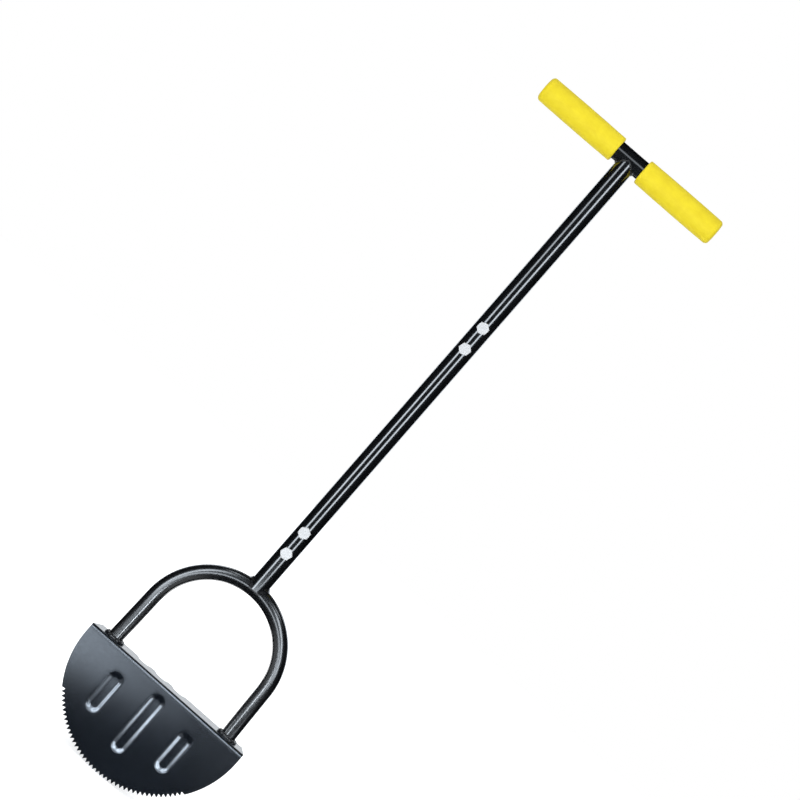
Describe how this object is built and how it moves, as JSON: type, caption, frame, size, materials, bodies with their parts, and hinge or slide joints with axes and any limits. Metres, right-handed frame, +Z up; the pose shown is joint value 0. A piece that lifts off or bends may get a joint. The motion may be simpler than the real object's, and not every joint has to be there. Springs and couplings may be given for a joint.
{
  "type": "half moon edger",
  "caption": "Long handled lawn edging tool: half round saw-toothed steel blade with folded foot plate, tube bow, bolted tube shaft and T crossbar with foam grips.",
  "frame": {"origin": "on the shaft's axis, level with the lowest tooth tips, half way between the blade's front and the foot plate's rear edge", "axes": "+Z up the shaft, +X along the crossbar and the blade's chord, -Y towards the blade's front, +Y towards the foot plate's rear edge"},
  "size_m": [0.272, 0.045, 0.9976],
  "materials": {
    "blade_coat": "satin charcoal powder coat with a fine texture",
    "tube_coat": "gloss black powder coat",
    "weld_coat": "gloss black powder coat over a rippled weld bead",
    "sleeve_steel": "bare drawn steel tube",
    "fastener_zinc": "bright zinc plate",
    "grip_foam": "matt closed cell foam"
  },
  "bodies": {
    "root": {"blade": "blade_coat", "left_leg_weld": "weld_coat", "right_leg_weld": "weld_coat", "bow_tube": "tube_coat", "stub_weld": "weld_coat", "stub_tube": "tube_coat", "lower_sleeve": "sleeve_steel", "lower_joint_bolts": "fastener_zinc", "lower_joint_nuts": "fastener_zinc", "middle_tube": "tube_coat", "upper_sleeve": "sleeve_steel", "upper_joint_bolts": "fastener_zinc", "upper_joint_nuts": "fastener_zinc", "upper_tube": "tube_coat", "crossbar_weld": "weld_coat", "crossbar": "tube_coat", "left_grip": "grip_foam", "right_grip": "grip_foam"}
  },
  "joints": []
}
